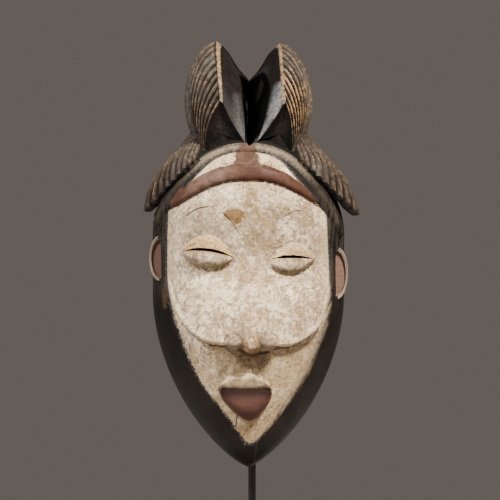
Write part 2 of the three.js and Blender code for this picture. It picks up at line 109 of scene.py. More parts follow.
def through(points):
    """A smooth curve through a few points, read by a share from 0 to 1."""
    points = np.array(points, dtype=float)
    ends = 2 * points[[0, -1]] - points[[1, -2]]
    padded = np.vstack([ends[0], points, ends[1]])

    def at(share):
        place = np.clip(share, 0, 1) * (len(points) - 1)
        i = np.minimum(place.astype(int), len(points) - 2)
        t = (place - i)[..., None]
        p0, p1, p2, p3 = (padded[i + k] for k in range(4))
        m1, m2 = (p2 - p0) / 2, (p3 - p1) / 2
        return ((2 * t ** 3 - 3 * t ** 2 + 1) * p1 + (t ** 3 - 2 * t ** 2 + t) * m1
                + (3 * t ** 2 - 2 * t ** 3) * p2 + (t ** 3 - t ** 2) * m2)
    return at


def length(vectors):
    return np.linalg.norm(vectors, axis=-1)


def spots(x, y, z):
    """Points from coordinates, each of them an array or one number for all."""
    return np.stack(np.broadcast_arrays(x, y, z), axis=-1)


NOISE_SIDE = 32
NOISE_LATTICE = np.random.default_rng(7).uniform(-1, 1, (NOISE_SIDE,) * 3)


def noise(points, size):
    """Smooth random values from -1 to 1 with lumps of a size."""
    place = points / size + 11.3
    cell = np.floor(place).astype(int)
    share = place - cell
    share = share * share * (3 - 2 * share)
    total = 0.0
    for corner in np.ndindex(2, 2, 2):
        weight = np.where(corner, share, 1 - share).prod(axis=-1)
        total = total + weight * NOISE_LATTICE[tuple(np.moveaxis((cell + corner) % NOISE_SIDE, -1, 0))]
    return total


head_front = profile([
    (CHIN_LOW, -30), (7, -43), (13, -51.5), (23, -57.5), (45, -63), (68, -66), (97, -70),
    (130, -72), (165, -71), (190, -76), (215, -79), (235, -74), (252, -60), (263, -40), (272, -15)])


def head_half_width(z, inset=0.0):
    below = np.clip((JAW_TOP - z) / (JAW_TOP - CHIN_LOW - inset), 0, 1)
    above = np.clip((z - TEMPLE_TOP) / (HEAD_TALL - TEMPLE_TOP - inset * 2.6), 0, 1)
    share = np.maximum(below, above)
    return (HALF_WIDTH - inset) * (1 - share * share) ** OUTLINE_POWER


def rim_y(z):
    return mix(CHIN_RIM_Y, RIM_Y, ease(z / JAW_RIM_TALL))


def widest_y(z):
    return rim_y(z) - RIM_STRAIGHT * (rim_y(z) - head_front(z))


def rounded(back, front, across, power):
    """Depth of a rounded section, across from -1 to 1 between its sides at the back."""
    return back - (back - front) * (1 - np.abs(across) ** power) ** (1 / power)


def section_y(z, across):
    return rounded(widest_y(z), head_front(z), across, SECTION_POWER)


def head_surface_y(x, z):
    return section_y(z, np.clip(np.abs(x) / head_half_width(z), 0, 0.999))


def lean_at(z):
    return LEAN * ease((z - 75) / 45) * (1 - 0.55 * ease((z - 205) / 45))


def level(x, z):
    return z - lean_at(z) * x


def line_distance(line, x, z):
    """How far x, z lies above a line z = line(x), measured square to it."""
    slope = line(x + 0.5) - line(x - 0.5)
    return (z - line(x)) / np.hypot(1, slope)


def hairline(x):
    return level(x, 252 - 0.00208 * np.abs(x - 1) ** 2.4)


def diadem_line(x):
    return level(x, 232.7 - 0.00366 * np.abs(x) ** 2.2) + 0.03 * x


DIADEM_X = -3.25
DIADEM_REACH = 57.25


def diadem_half(x):
    u = (x - DIADEM_X) / DIADEM_REACH
    wide = mix(6.9, 6.1, ease(np.abs(u) / 0.5))
    return wide * np.clip(1 - np.abs(u) ** np.where(u < 0, 5, 3), 0.001, 1) ** 0.8


BAND_HALF = 3.4
BAND_REACH = 72
CHEEK_SWELL = 5.5
CHEEK_HALF = 63.0


def cheek_line(x):
    reach = np.abs(x - FACE_X)
    return 97.5 + 0.00095 * np.maximum(reach - 16, 0) ** 2.75 + np.where(x < 0, 1.5, 0)


def swell(x, z):
    """The cheeks, which end below at the fold."""
    sides = ease((CHEEK_HALF - np.abs(x)) / 13)
    return CHEEK_SWELL * ease((z - cheek_line(x) + 0.5) / 3.5) * (1 - ease((z - 118) / 42)) * sides


EYES = (
    dict(x=-31.1, z=169.2, half=21.0, up=15.3, down=11.6, rise=7.5, tilt=-0.105,
         slit=dict(x=-31.1, z=169.4, half=20.6, tall=2.4, arch=2.8, tilt=-0.1)),
    dict(x=33.5, z=164.8, half=18.4, up=13.8, down=10.8, rise=7.0, tilt=0.108,
         slit=dict(x=33.5, z=166.2, half=15.7, tall=2.3, arch=1.0, tilt=-0.02)),
)

NOSE_HALF = 20.0
WINGS = (dict(x=-10.8, z=101.5, radius=6.6), dict(x=14.4, z=102.5, radius=6.8))
WING_RISE = 7.5
tip_rise = profile([
    (91.5, 0), (93.5, 9), (96.5, 13.5), (102, 12.6), (109, 8.2), (120, 4.4), (135, 3), (152, 2), (172, 0)])

MOUTH_X = -2.6
MOUTH_HALF = 20.8
LIP_RISE = 9.0
lip_half = profile([
    (41, 0.6), (42.5, 4), (45, 7.4), (48.5, 10.8), (52, 14), (56, 17.3), (60, 19.4), (64, 20.2), (68.4, 19)])
lip_rise = profile([
    (41, 0.5), (43, 3.2), (46, 6.6), (50, 9), (54, 9.2), (58, 8.4), (62, 7.4), (65, 6.9), (68.4, 6.5)])

white_left = profile([
    (22, -1.5), (27, -3.5), (49, -19.5), (71, -36.4), (107, -52.6), (141, -61.8), (165, -63), (205, -62)])
white_right = profile([
    (22, 1), (27, 7), (47, 23.5), (78, 44.2), (108, 57), (134, 62.5), (165, 62), (205, 60)])


def lip_middle(z):
    return mix(0.4, MOUTH_X, np.clip((z - 41) / 27, 0, 1))


def eye_place(eye, x, z):
    """Across and up or down an eyelid, from -1 to 1 inside it, and the lid's span there."""
    across = (x - eye["x"]) / eye["half"]
    span = np.clip(1 - np.abs(across) ** 2.2, 0, 1)
    rise = z - (eye["z"] + eye["tilt"] * (x - eye["x"]))
    reach = np.where(rise > 0, eye["up"], eye["down"]) * np.maximum(span, 0.001)
    return across, rise / reach, span


def slit_middle(slit, across):
    return slit["z"] + slit["tilt"] * across * slit["half"] + slit["arch"] * (1 - across ** 2)


def nose_relief(x, z):
    """The low bridge, the small tip and the two round wings."""
    wide = 6.4 + np.maximum(z - 104, 0) * 0.15
    tip = tip_rise(z) * np.exp(-(np.abs(x - FACE_X) / wide) ** 2.4)
    sharp_tip = 1.5 * bump(np.hypot(x - 3, z - 97), 4)
    wings = [WING_RISE * (1 - 0.4 * ease((z - w["z"]) / w["radius"]))
             * dome(np.hypot(x - w["x"], z - w["z"]) / w["radius"]) for w in WINGS]
    inside = ease((z - 91) / 3) * (np.abs(x - FACE_X) < NOSE_HALF)
    return np.maximum.reduce([tip + sharp_tip] + wings) * inside


def mouth_relief(x, z):
    """The arched upper lip, the dark groove below it and the heart-shaped lower lip."""
    u = (x - MOUTH_X) / MOUTH_HALF
    inside = np.clip(1 - u * u, 0, 1)
    low = 65 + 3.2 * np.sqrt(inside)
    high = 65.3 + 11.9 * inside ** 0.62
    share = (z - low) / np.maximum(high - low, 0.01)
    slope = LIP_RISE * (0.74 + 0.22 * np.clip(share, 0, 1)) * inside ** 0.35
    upper = slope * ease((1.06 - share) / 0.16) * ease((share + 0.1) / 0.16) * (inside > 0)
    w = (x - lip_middle(z)) / lip_half(z)
    lower = lip_rise(z) * np.clip(1 - np.abs(w) ** 2.6, 0, 1) ** 0.6
    return np.maximum(upper, lower * (z > 40.8) * (z < 68.4))


def face_relief(x, z):
    """Height of the carving on the head at x, z seen from the front."""
    front = ease((70 - np.abs(x)) / 8)
    side = np.abs(x - FACE_X)
    cheek = swell(x, z)
    roll = line_distance(cheek_line, x, z)
    along = ease((side - 15) / 4) * ease((64 - side) / 5)
    height = cheek - 0.9 * bump(roll - 7, 0.9) * along - 1.2 * bump(roll + 3.5, 3.5) * along
    height += 0.8 * bump(roll - 3.2, 1.8) * along - 1.6 * bump(roll + 1.4, 1.1) * along
    for gap_x, gap_z, gap_half in ((-23.5, 99.5, 5.0), (25.4, 98.2, 5.2)):
        height -= 3.2 * bump((x - gap_x) / gap_half, 1) * bump(z - gap_z, 1.5)
    edge = np.minimum(x - white_left(z), white_right(z) - x)
    height += 0.9 * ease((edge + 0.8) / 1.6) * ease((z - 118) / 20) * (1 - ease((z - 205) / 15))
    for eye in EYES:
        across, up, span = eye_place(eye, x, z)
        socket = bump(x - eye["x"], eye["half"] * 1.05) * bump(z - eye["z"] - 8, 19)
        height -= 2.4 * socket * front
        lid = eye["rise"] * np.sqrt(span * np.clip(1 - up * up, 0, 1))
        rim = (np.abs(up) - 1.04) * np.where(up > 0, eye["up"], eye["down"]) * span
        height -= np.where(up > 0, 1.2, 0.5) * bump(rim, 1.1) * (np.abs(across) < 0.98)
        height = np.maximum(height, (lid - 1.2) * ((np.abs(across) < 1) & (np.abs(up) < 1)))
    nose = nose_relief(x, z)
    height = np.maximum(height, cheek + nose)
    for nostril in (-5.5, 9.5):
        height -= 5 * bump(np.hypot(x - nostril, (z - 94.5) * 1.2), 2.4)
    height -= 1.6 * bump(np.hypot(x - FACE_X, (z - 89) * 1.2), 7)
    height = np.maximum(height, mouth_relief(x, z))
    band = line_distance(hairline, x, z) / BAND_HALF
    cord = 3.2 * dome(band) - 1.1 * bump(band - 0.1, 0.2)
    height = np.maximum(height, cord * (np.abs(x) < BAND_REACH))
    crown = line_distance(diadem_line, x, z) / diadem_half(x)
    on_crown = np.abs(x - DIADEM_X) < DIADEM_REACH
    height = np.maximum(height, 3.4 * dome(crown, 4) * on_crown)
    return height - 0.9 * bump(crown - 0.55, 0.09) * (np.abs(x) < 50)


STRIP_LEFT = -51.0
STRIP_RIGHT = 45.0


def face_zones(x, z):
    """The painted zones: signed distances in millimetres, places on the eyelids, and the painted shade in the
    sockets above the upper lids.
    """
    under_hair = -(line_distance(hairline, x, z) + 3.6)
    above = line_distance(diadem_line, x, z)
    white = np.minimum.reduce([x - white_left(z), white_right(z) - x, z - 24, under_hair])
    beside = np.minimum(x - STRIP_LEFT, STRIP_RIGHT - x) * 0.6
    slim = 3.2 * ease((np.abs(x + 4.5) - 14) / 30) + 2.5 * ease((x - 24) / 14)
    white = np.where(above > 0, np.minimum(white - slim - 0.4, beside), white)
    crown = np.minimum(diadem_half(x) - np.abs(above), DIADEM_REACH - np.abs(x - DIADEM_X))
    tails = np.minimum.reduce([above, under_hair + 1.2, -beside, DIADEM_REACH - np.abs(x - DIADEM_X)])
    tails = np.where(x < 0, tails, -20)
    mouth = np.minimum.reduce([lip_half(z) - np.abs(x - lip_middle(z)), z - 41, 68.2 - z])
    patch = np.minimum.reduce([(8.5 + 0.35 * (246 - z) - np.abs(x + 1)) * 0.5, z - 236, (255.5 - z) * 0.5])
    lid = np.full_like(x, -20.0)
    lid_row = np.zeros_like(x)
    socket = np.zeros_like(x)
    for eye in EYES:
        across, up, span = eye_place(eye, x, z)
        lid = np.maximum(lid, np.minimum(1 - np.abs(up), 1 - np.abs(across)) * 10)
        inside = (np.abs(across) < 1) & (np.abs(up) < 1.25)
        lid_row = np.where(inside, up, lid_row)
        # painted shade: a grey band in the socket just above each upper lid
        rise = z - (eye["z"] + eye["tilt"] * (x - eye["x"])) - eye["up"] * span
        shade = bump((rise - 5) / 5.5, 1) * ease(rise / 1.5) * bump((across - 0.1) / 0.75, 1)
        socket = np.maximum(socket, shade)
    red = np.maximum.reduce([crown, mouth, patch, tails])
    return dict(white=white, red=red, lip=mouth, patch=patch, lid=lid, lid_row=lid_row, socket=socket)


def put_field(body, name, values):
    layer = body.data.attributes.get(name) or body.data.attributes.new(name, "FLOAT", "POINT")
    layer.data.foreach_set("value", np.asarray(values, dtype=np.float32).ravel())


def closed_body(name, rings, **fields):
    """A closed body from rings of points, each meeting itself, with fields of numbers like them."""
    rings, *values = (np.concatenate([part, part[:, :1]], axis=1) for part in (rings, *fields.values()))
    rows, columns = rings.shape[:2]
    bpy.ops.mesh.primitive_grid_add(x_subdivisions=columns - 1, y_subdivisions=rows - 1)
    body = bpy.context.object
    body.name = name
    body.data.vertices.foreach_set("co", ((rings + MASK_PLACE) * MM).ravel().astype(np.float32))
    for field, value in zip(fields, values):
        put_field(body, field, value)
    bpy.ops.object.mode_set(mode="EDIT")
    bpy.ops.mesh.select_all(action="SELECT")
    bpy.ops.mesh.remove_doubles(threshold=1e-6)
    bpy.ops.mesh.dissolve_degenerate(threshold=1e-7)
    bpy.ops.mesh.normals_make_consistent()
    bpy.ops.object.mode_set(mode="OBJECT")
    return body


def capped(rings, ends=None):
    """Adds rows that close the first and last ring onto their middles or onto given ends."""
    ends = ends or (rings[0].mean(axis=0), rings[-1].mean(axis=0))
    first, last = (np.broadcast_to(end, rings[0].shape)[None] for end in ends)
    return np.concatenate([first, rings, last])


HEAD_ROWS = 236
HEAD_COLUMNS = 200
SIDE_COLUMNS = 8
RIM_DRAFT = 2.5


def head_body():
    share = np.linspace(0, 1, HEAD_ROWS)
    share = share - 0.07 * np.sin(2 * math.pi * share) * (1 - 0.4 * share)
    z = mix(CHIN_LOW, HEAD_TALL, share)[:, None]
    half = head_half_width(z)
    across = np.sin(np.linspace(-1, 1, HEAD_COLUMNS) * math.pi / 2)
    x = half * across
    arc = spots(x, section_y(z, across), z)
    parts, rim_half = [arc], np.maximum(half - RIM_DRAFT, 0)
    for side in (1, -1):
        run = np.linspace(0, 1, SIDE_COLUMNS + 1)[1:][::side]
        parts.append(spots(side * mix(half, rim_half, run), mix(widest_y(z), rim_y(z), run), z))
    ring = np.concatenate(parts, axis=1)
    facing = np.cross(np.gradient(ring, axis=1), np.gradient(ring, axis=0))
    facing /= np.maximum(length(facing), 1e-9)[..., None]
    relief = np.zeros(ring.shape[:2])
    relief[:, :HEAD_COLUMNS] = face_relief(x, arc[..., 2])
    relief[[0, 1, -2, -1]] = 0
    return closed_body("mask_head", ring + facing * relief[..., None])


# The crest lobes
LOBE_RIBS = 26
GROOVE_DEEP = 2.0
STRIP_OUTER = 0.045
STRIP_INNER = 0.1
STRIP_HALF = 2.6
OUTSIDE = 60.0
RIGHT_DROP = 1.5


def per_side(left, right, shared):
    """A curve for each side, -1 and 1; the two differ only where they start."""
    return {-1: through(left + shared), 1: through(right + shared)}


LOBE_EDGES = per_side(
    [(21.5, -47, 290), (22.6, -38, 311), (23.4, -24, 328)],
    [(28.6, -47, 290), (26.4, -38, 311), (24.6, -24, 328)],
    [(22.6, -4, 337.4), (16.5, 11, 331), (8, 22, 318), (-1.5, 31, 306), (-1.5, 43, 288),
     (-1.5, 50, 268), (-1.5, 52, 246)])
LOBE_LIPS = per_side(
    [(2.6, -54, 256), (3, -46, 272), (4.4, -32, 288), (5.5, -12, 303), (7.5, 6, 312), (5, 22, 312)],
    [(6.5, -54, 258), (11.5, -46, 271), (15.5, -34, 288), (17, -16, 303), (13, 4, 315), (7, 19, 314)],
    [(-1.5, 29.5, 305), (-1.5, 40, 287), (-1.5, 47, 267), (-1.5, 49, 245)])
lobe_valley = through([
    (1, -50, 254), (-1.5, -25, 253), (-1.5, -5, 256), (-1.5, 10, 265), (-1.5, 19, 282), (-1.5, 25, 300),
    (-1.5, 28, 304), (-1.5, 38, 286), (-1.5, 45, 266), (-1.5, 46, 244)])
LOBE_POLE = np.array([34.0, -42, 247])
RIB_SHOULDERS = per_side(
    [(27, -49, 281), (33, -48, 300), (38.5, -38, 321)],
    [(33, -49, 281), (36, -48, 300), (39.5, -38, 321)],
    [(42, -12, 340), (46, 8, 336), (46, 22, 326), (42, 34, 314), (38, 46, 296), (34, 52, 276),
     (30, 52, 258)])
rib_belly = through([
    (35, -50, 270), (45, -49, 278), (55, -40, 286), (62, -24, 292), (66, -6, 290),
    (66, 14, 284), (62, 32, 276), (56, 44, 266), (50, 50, 256), (44, 51, 246)])
LOBE_CORE = np.array([10.0, 0, 285])
STEPS_PER_RIB = 6
OUTER_POINTS = 26
INNER_POINTS = 12


def on_side(points, side):
    """Points of the +x lobe placed on a side; the right lobe sits a little lower."""
    return points * (side, 1, 1) - (0, 0, RIGHT_DROP if side > 0 else 0)


def lobe_foot(share):
    """The inner bottom of a lobe, which comes forward below its front edge."""
    return spots(16.0, mix(-46, -20, ease(share / 0.12)), 237.0)


def groove_shape(phase):
    """A carved groove's depth, from 0 on the crest to 1 in its valley."""
    return np.clip(1 - np.abs((phase % 1.0) - 0.5) / 0.34, 0, 1) ** 0.8


def rib_back(phase):
    """0 in a groove's middle and 1 on the middle of the rib's back."""
    return 2 * np.abs((phase % 1.0) - 0.5)


def lobe_body(side):
    share = np.linspace(0, 1, LOBE_RIBS * STEPS_PER_RIB + 1)[:, None]
    flat = share[:, 0]
    strip = 1 - ease((share - 0.38) / 0.1)
    along = mix(STRIP_OUTER * strip, 1, np.linspace(0, 1, OUTER_POINTS))
    edge, lip, shoulder, valley, belly, bottom = (curve(flat)[:, None] for curve in (
        LOBE_EDGES[side], LOBE_LIPS[side], RIB_SHOULDERS[side], lobe_valley, rib_belly, lobe_foot))
    t = along[..., None]
    outer = ((1 - t) ** 3 * edge + 3 * (1 - t) ** 2 * t * shoulder + 3 * (1 - t) * t * t * belly
             + t ** 3 * LOBE_POLE)
    reach = length(outer - outer[:, :1])
    wobble = 0.16 * noise(outer * (1, 1, 0.5) + side * 40, 14)
    phase = share * LOBE_RIBS + wobble
    groove = groove_shape(phase)
    fade = np.minimum(1, reach / 2.5) * ease((1 - along) * 3.2)
    uneven = 1 + 0.35 * noise(outer + side * 70, 9)
    inward = LOBE_CORE - outer
    inward /= length(inward)[..., None]
    outer = outer + inward * (groove * fade * GROOVE_DEEP * uneven)[..., None]
    down = np.linspace(0, 1, 5)[1:-1, None]
    under = mix(LOBE_POLE, bottom, down)
    under2 = mix(bottom, valley, down)
    up = np.linspace(0, 1, INNER_POINTS)[:, None]
    rim = mix(lip, edge, up * (1 - STRIP_INNER * strip[..., None]))
    rim[..., 0] += 1.2 * np.sin(math.pi * up[:, 0])
    middle = mix(rim[:, -1:], outer[:, :1], 0.5)
    middle[..., 1] -= 0.35 * strip
    inner = np.concatenate([mix(valley, lip, up)[:, :-1], rim, middle], axis=1)
    rings = on_side(np.concatenate([outer, under, bottom, under2, inner], axis=1), side)
    hollow = np.array([-21.0 if side < 0 else 24.0, -43, 263])
    closing = np.linspace(0, 1, 12)[:-1][:, None, None]
    recess = mix(hollow, rings[0][None], closing ** 0.8)
    recess[..., 1] += 1.5 * np.sin(math.pi * closing[..., 0])
    back = np.broadcast_to((20.0 * side, 48, 246), rings[:1].shape)
    rings = np.concatenate([recess, rings, back])
    body_rows = slice(len(recess), len(rings) - 1)
    rim_columns, below = slice(-1 - INNER_POINTS, -1), len(rings[0]) - 2 * INNER_POINTS

    def field(elsewhere, *parts):
        values = np.full(rings.shape[:2], elsewhere)
        for columns, part in parts:
            values[body_rows, columns] = part
        return values
    crest = field(0.0, (slice(OUTER_POINTS), mix(0.5, rib_back(phase), fade)))
    # signed distance into the flat strip along the ridge
    ridge = field(-STRIP_HALF * 2, (slice(OUTER_POINTS), -reach), (rim_columns, -length(rim - rim[:, -1:])),
                  (-1, STRIP_HALF))
    ridge[body_rows] = np.where(strip > 0.3, ridge[body_rows], -STRIP_HALF * 2)
    # signed distance below the lip, down into the cleft
    deep = field(-OUTSIDE, (rim_columns, -length(rim - lip)),
                 (slice(below, below + INNER_POINTS - 1), length(inner[:, :INNER_POINTS - 1] - lip)))
    inside = np.zeros(rings.shape[:2])
    inside[:len(recess)] = 1
    return closed_body("lobe", rings, crest=crest, ridge=ridge, deep=deep, recess=inside)


WEB_HALF = 5.0
WEB_SIDE = ((-50, 238), (-50, 254), (-25, 254), (-5, 257), (10, 266), (19, 283), (25, 301),
            (30, 304), (40, 286), (46, 266), (48, 238))


def web_body():
    ring = np.array([[(x, y, z) for y, z in WEB_SIDE] for x in (-WEB_HALF, WEB_HALF)], dtype=float)
    return closed_body("web", capped(ring, ((-WEB_HALF, 5, 260), (WEB_HALF, 5, 260))))


CLEFT_CLEAR = 0.2
CLEFT_HALF = 0.4
CLEFT_FRONT = -26.0


def cleft_body():
    """The space between the lobes: it opens upwards and runs out over the forehead."""
    share = np.linspace(0, 0.6, 60)
    valley = lobe_valley(share)
    floor = spots(CLEFT_HALF, valley[:, 1], valley[:, 2] + 0.4)
    columns = []
    for side in (1, -1):
        lip, edge = LOBE_LIPS[side](share), LOBE_EDGES[side](share)
        half = [floor] + [
            spots(np.maximum(line[:, 0] - CLEFT_CLEAR, CLEFT_HALF), line[:, 1], line[:, 2] + lift)
            for line, lift in ((lip, 0.4), (edge, 3.0))]
        columns += [on_side(line, side) for line in half[::side]]
    rings = np.stack(columns, axis=1)
    rings = np.concatenate([rings[:1] + (0, CLEFT_FRONT, 0), rings])
    return closed_body("cleft", capped(rings))


# The side tresses
TRESS_RIBS = 15
TRESS_BULGE = 6.5
TRESS_THICK = 6.5
TRESS_GROOVE_DEEP = 2.4
TRESS_LIFT = np.array([0.8, -0.15, 0.55])
tress_root = through([
    (37, -38, 258), (41, -30, 264), (45, -12, 266), (46, 12, 266), (44, 34, 262), (40, 52, 256)])
tress_edge = through([
    (41, -57, 245), (53, -54, 233.5), (66.5, -38, 219.5), (82.3, -9, 205), (81, 22, 207), (77, 52, 212)])


def tress_body(side, spread, drop):
    share = np.linspace(0, 1, TRESS_RIBS * STEPS_PER_RIB + 1)
    root, edge = tress_root(share)[:, None], tress_edge(share)[:, None]
    edge[..., 0] *= mix(1, spread, ease(share * 2))[:, None]
    phase = share[:, None] * TRESS_RIBS + 0.5
    groove = groove_shape(phase)

    def lifted(along, lift):
        swell = TRESS_BULGE * ease(share * 2.5)[:, None] * np.sin(math.pi * along ** 1.5) + lift
        return mix(root, edge, along[:, None]) + swell[..., None] * TRESS_LIFT
    along = np.linspace(0, 1, 24)
    outer = lifted(along, -groove * TRESS_GROOVE_DEEP * np.minimum(1, along * 3))
    back = np.linspace(0.97, 0, 14)
    inner = lifted(back, -TRESS_THICK - 5 * (1 - back))
    rings = np.concatenate([outer, inner], axis=1) * (side, 1, 1)
    rings[..., 2] -= drop * ease((266 - rings[..., 2]) / 60)
    crest = np.zeros(rings.shape[:2])
    crest[:, :len(along)] = rib_back(phase)
    return closed_body("tress", capped(rings), crest=np.concatenate([crest[:1], crest, crest[-1:]]))


# Each ear's side, place and half-sizes
EARS = ((-1, 68.5, 166.2, 9.3, 18.6), (1, 68.4, 154.6, 9.6, 21.6))
# An ear's rings as scale, y and how far the closing side lies in from the ear's middle
EAR_OUTSIDE = ((0.86, -27.0, 8), (0.94, -27.8, 9), (0.98, -26.6, 10), (1, -23, 10), (0.99, -18, 10),
               (0.92, -12, 10), (0.75, -5, 9), (0.5, 0, 8))
EAR_SUNK = ((0.84, -32.0, 1.5), (0.82, -26.5, 1.5), (0.76, -25, 1.5))


def ear_body(name, stations, side, x, z, half, tall):
    """A body of half-round rings, closed towards the head."""
    turn = np.linspace(-0.5, 0.5, 33) * math.pi
    rings = []
    for scale, y, inset in stations:
        arc = spots(side * (x + np.cos(turn) * half * scale), y, z + np.sin(turn) * tall * scale)
        root = side * (x - inset)
        rings.append(np.concatenate([arc, [(root, y, z + tall * 0.6), (root, y, z - tall * 0.6)]]))
    return closed_body(name, capped(np.array(rings)))


HOLLOW_BOTTOM = 13.0
HOLLOW_POWER = 2.4
HOLLOW_TOP = HEAD_TALL - WALL * 2.6


def hollow_body():
    share = np.linspace(0, 1, 60)
    z = mix(HOLLOW_BOTTOM, HOLLOW_TOP, (1 - np.cos(share * math.pi)) / 2)[:, None]
    half = np.maximum(head_half_width(z, WALL), 0.6)
    front = head_front(z) + WALL + 1
    back = np.maximum(widest_y(z), front + 4)
    across = np.sin(np.linspace(-1, 1, 48) * math.pi / 2)
    arc = spots(half * across, rounded(back, front, across, HOLLOW_POWER), z)
    ends = spots(np.concatenate([half, -half], axis=1), RIM_Y + 8, z)
    return closed_body("hollow", capped(np.concatenate([arc, ends], axis=1)))


SLIT_FALL = 0.25
SLIT_RISE = 4.0


def slit_body(slit):
    across = np.linspace(-1, 1, 33)
    open_half = slit["tall"] * 0.5 * (1 - across ** 2)
    x = slit["x"] + across * slit["half"]
    rings = []
    surface = head_surface_y(x, slit["z"]) - SLIT_RISE
    for y in np.linspace(-110.0, -30.0, 41):
        middle = slit_middle(slit, across) - SLIT_FALL * (y - surface)
        lower = spots(x, y, middle - open_half)[1:-1][::-1]
        rings.append(np.concatenate([spots(x, y, middle + open_half), lower]))
    return closed_body("slit", capped(np.array(rings)))


def behind_rim():
    """Everything behind the flat rim."""
    bpy.ops.mesh.primitive_cube_add(size=1, location=(0, (RIM_Y + 50) * MM, 0.25), scale=(0.5, 0.1, 0.6))
    bpy.ops.object.transform_apply()
    return bpy.context.object


def cut_or_join(target, tool, operation):
    """Joins a body to the target or cuts it away, and removes the tool."""
    modifier = target.modifiers.new("carve", "BOOLEAN")
    modifier.operation, modifier.solver, modifier.object = operation, "MANIFOLD", tool
    bpy.context.view_layer.objects.active = target
    bpy.ops.object.modifier_apply(modifier=modifier.name)
    bpy.data.objects.remove(tool, do_unlink=True)


def read(items, name, wide=1, kind=np.float32):
    """One property of all items, in rows where it is wider than one number."""
    values = np.empty(len(items) * wide, dtype=kind)
    items.foreach_get(name, values)
    return values if wide == 1 else values.reshape(-1, wide)


def vertex_places(body):
    """A body's points in the mask's own millimetres."""
    return read(body.data.vertices, "co", 3).astype(float) / MM - MASK_PLACE


FIELDS = ("crest", "ridge", "deep", "recess")


def remembered(body, form):
    """A body's points with their form and fields."""
    count = len(body.data.vertices)
    layers = [body.data.attributes.get(name) for name in FIELDS]
    values = [read(layer.data, "value") if layer else np.zeros(count) for layer in layers]
    return np.column_stack([vertex_places(body), np.full(count, form)] + values)


def nearest(known, points):
    """The form and fields of the remembered point nearest to each point."""
    tree = KDTree(len(known))
    for i, place in enumerate(known[:, :3].tolist()):
        tree.insert(place, i)
    tree.balance()
    return known[[tree.find(point)[1] for point in points.tolist()], 3:].T


def swelling(body):
    """How far each point stands out of its neighbours: edges are above 0, hollows below."""
    a, b = read(body.data.edges, "vertices", 2, np.int32).T
    places, normals = vertex_places(body), read(body.data.vertices, "normal", 3)
    count = len(places)
    near = np.maximum(np.bincount(a, minlength=count) + np.bincount(b, minlength=count), 1)

    def around(values):
        return (np.bincount(a, values[b], count) + np.bincount(b, values[a], count)) / near
    off = places - np.stack([around(part) for part in places.T], axis=-1)
    bent = np.einsum("ij,ij->i", off, normals) / (around(length(off)) + 1.0)
    for _ in range(2):
        bent = mix(bent, around(bent), 0.6)
    return bent


EAR_RIM = 2.6
ZONE_LIMIT = 20
SHARP_ANGLE = 38
HEAD, LOBE, TRESS, EAR, EAR_FACE, HOLLOW, WEB, CLEFT, SLIT = range(9)


def mark_carving(mask, known):
    """Writes the painted zones, and how far each point stands out, onto the carving's points."""
    points = vertex_places(mask)
    x, y, z = points.T
    form, crest, ridge, deep, recess = nearest(known, points)
    head = (form == HEAD) & (y < 5)
    zones = face_zones(x, np.clip(z, 1, HEAD_TALL - 1))
    marks = {name: np.clip(np.where(head, zone, 0 if name in ("lid_row", "socket") else -ZONE_LIMIT),
                           -ZONE_LIMIT, ZONE_LIMIT) for name, zone in zones.items()}
    band = 1 - np.abs(line_distance(hairline, x, z)) / BAND_HALF
    in_front = head & (np.abs(x) < BAND_REACH) & ((y < -8) | (z < 225))
    shell, sunk = np.flatnonzero(form == EAR), points[form == EAR_FACE]
    reach = length(points[shell][:, None] - sunk[None]).min(axis=1)
    ear = np.where(form == EAR_FACE, 1.0, 0.0)
    ear[shell] = np.where(reach < EAR_RIM, 0.75, 0.5)
    bare = (form == LOBE) & ((y < 15) | (z > 275))
    cavity = np.where(form == LOBE, deep, -OUTSIDE)
    marks.update(
        band=np.where(in_front, np.clip(band * 4, -2, 4), -2),
        hair=np.isin(form, (LOBE, TRESS, WEB, CLEFT)),
        ear=ear,
        crest=np.where(np.isin(form, (LOBE, TRESS)), crest, 0),
        ridge=np.where(bare, np.clip(ridge, -6, 6), -6),
        recess=recess,
        # the slits, the cleft and the web get the painted shade of the deepest hollows
        cavity=np.where(np.isin(form, (SLIT, CLEFT, WEB)), 6, cavity),
        hollow=form == HOLLOW,
        # how far each point stands out: the paint lightens raised edges as painted highlight and darkens
        # hollows as painted shade and dirt
        worn=np.clip(swelling(mask) * 6, -1, 1) * (1 - recess))
    for name, values in marks.items():
        put_field(mask, name, values)


def mask_piece():
    mask = head_body()
    known = [remembered(mask, HEAD)]
    joined = [(lobe_body(-1), LOBE), (lobe_body(1), LOBE), (web_body(), WEB)]
    joined += [(tress_body(-1, 1.0, 0.0), TRESS), (tress_body(1, 1.06, 3.0), TRESS)]
    joined += [(ear_body("ear", EAR_OUTSIDE, *ear), EAR) for ear in EARS]
    removed = [(ear_body("ear_sunk", EAR_SUNK, *ear), EAR_FACE) for ear in EARS]
    removed += [(hollow_body(), HOLLOW), (cleft_body(), CLEFT)]
    removed += [(slit_body(eye["slit"]), SLIT) for eye in EYES]
    for pieces, operation in ((joined, "UNION"), (removed, "DIFFERENCE")):
        for piece, form in pieces:
            known.append(remembered(piece, form))
            cut_or_join(mask, piece, operation)
    cut_or_join(mask, behind_rim(), "DIFFERENCE")
    mark_carving(mask, np.concatenate(known))
    mask.name = "mask_carving"
    bpy.ops.object.select_all(action="DESELECT")
    mask.select_set(True)
    bpy.context.view_layer.objects.active = mask
    bpy.ops.object.shade_smooth_by_angle(angle=math.radians(SHARP_ANGLE))
    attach(mask, "root")
    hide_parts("mask")
    return mask


# Camera, floor and lights
def put_in_scene(name, data, place, turn):
    thing = bpy.data.objects.new(name, data)
    bpy.context.scene.collection.objects.link(thing)
    thing.location, thing.rotation_euler = place, turn
    return thing


